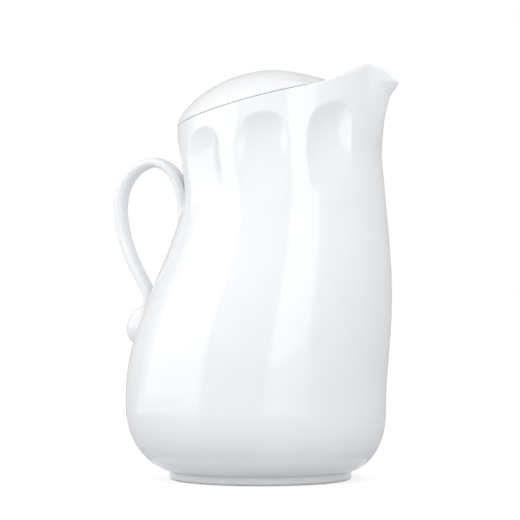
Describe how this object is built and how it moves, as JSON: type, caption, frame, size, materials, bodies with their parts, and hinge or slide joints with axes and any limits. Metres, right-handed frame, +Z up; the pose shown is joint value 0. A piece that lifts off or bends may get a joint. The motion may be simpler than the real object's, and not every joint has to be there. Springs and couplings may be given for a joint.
{
  "type": "hot milk jug with lid",
  "caption": "Tall pear-shaped porcelain jug with a fluted neck, beak spout, strap handle and domed lift-off lid.",
  "frame": {"origin": "centre of the foot ring where it stands on the table", "axes": "+Z up, +X toward the spout, +Y to the left when the spout points away from you"},
  "size_m": [0.1431, 0.1258, 0.1979],
  "materials": {
    "glaze": "gloss",
    "bisque": "matte"
  },
  "bodies": {
    "jug": {"jug_body": "glaze", "foot_ring": "bisque", "handle": "glaze", "handle_button": "glaze"},
    "lid": {"lid_dome": "glaze", "lid_collar": "glaze"}
  },
  "joints": [
    {"name": "lid_lift", "type": "slide", "parent": "jug", "child": "lid", "axis": [0, 0, 1], "range_m": [0, 0.06]}
  ]
}
